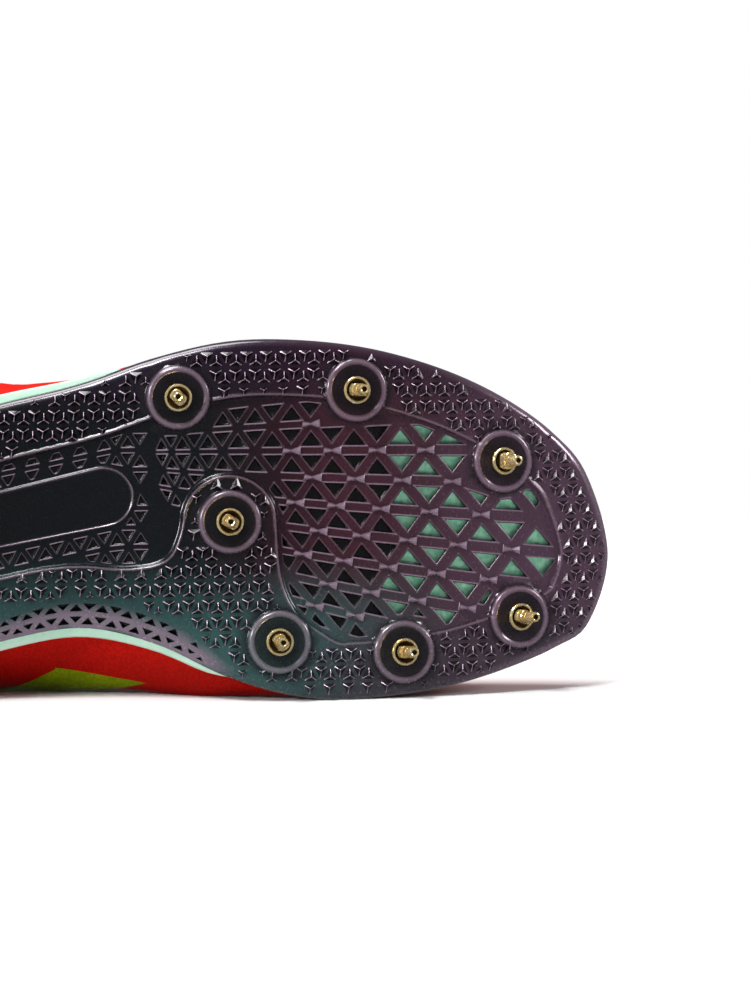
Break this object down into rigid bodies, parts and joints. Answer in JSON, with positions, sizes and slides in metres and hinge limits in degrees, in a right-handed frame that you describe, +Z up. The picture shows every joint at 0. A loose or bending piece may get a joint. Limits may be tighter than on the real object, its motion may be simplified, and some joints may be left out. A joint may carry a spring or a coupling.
{
  "type": "track spike shoe",
  "caption": "Right track spike shoe on its side: ribbed moulded sole plate with raised bosses and screw-in pins, thin foam line, hollow laced upper open at the collar.",
  "frame": {"origin": "centre of the bounding box on its bottom face, where the shoe lies on the floor", "axes": "+X from heel to toe, -Y out of the sole, +Z up through the lateral side"},
  "size_m": [0.2922, 0.101, 0.097],
  "materials": {
    "plate": "glossy pearlescent moulding",
    "foam": "fine foam skin",
    "insole": "flat textile",
    "upper": "coated knit",
    "tongue": "padded mesh",
    "lace": "flat woven tape",
    "spike": "turned metal, gold tone"
  },
  "bodies": {
    "root": {"outsole_plate": "plate", "midsole": "foam", "insole": "insole", "upper": "upper", "tongue": "tongue", "lace_bar_1": "lace", "lace_bar_2": "lace", "lace_bar_3": "lace", "lace_bar_4": "lace", "lace_bar_5": "lace", "spike_1": "spike", "spike_2": "spike", "spike_3": "spike", "spike_4": "spike", "spike_5": "spike", "spike_6": "spike", "spike_7": "spike"}
  },
  "joints": []
}
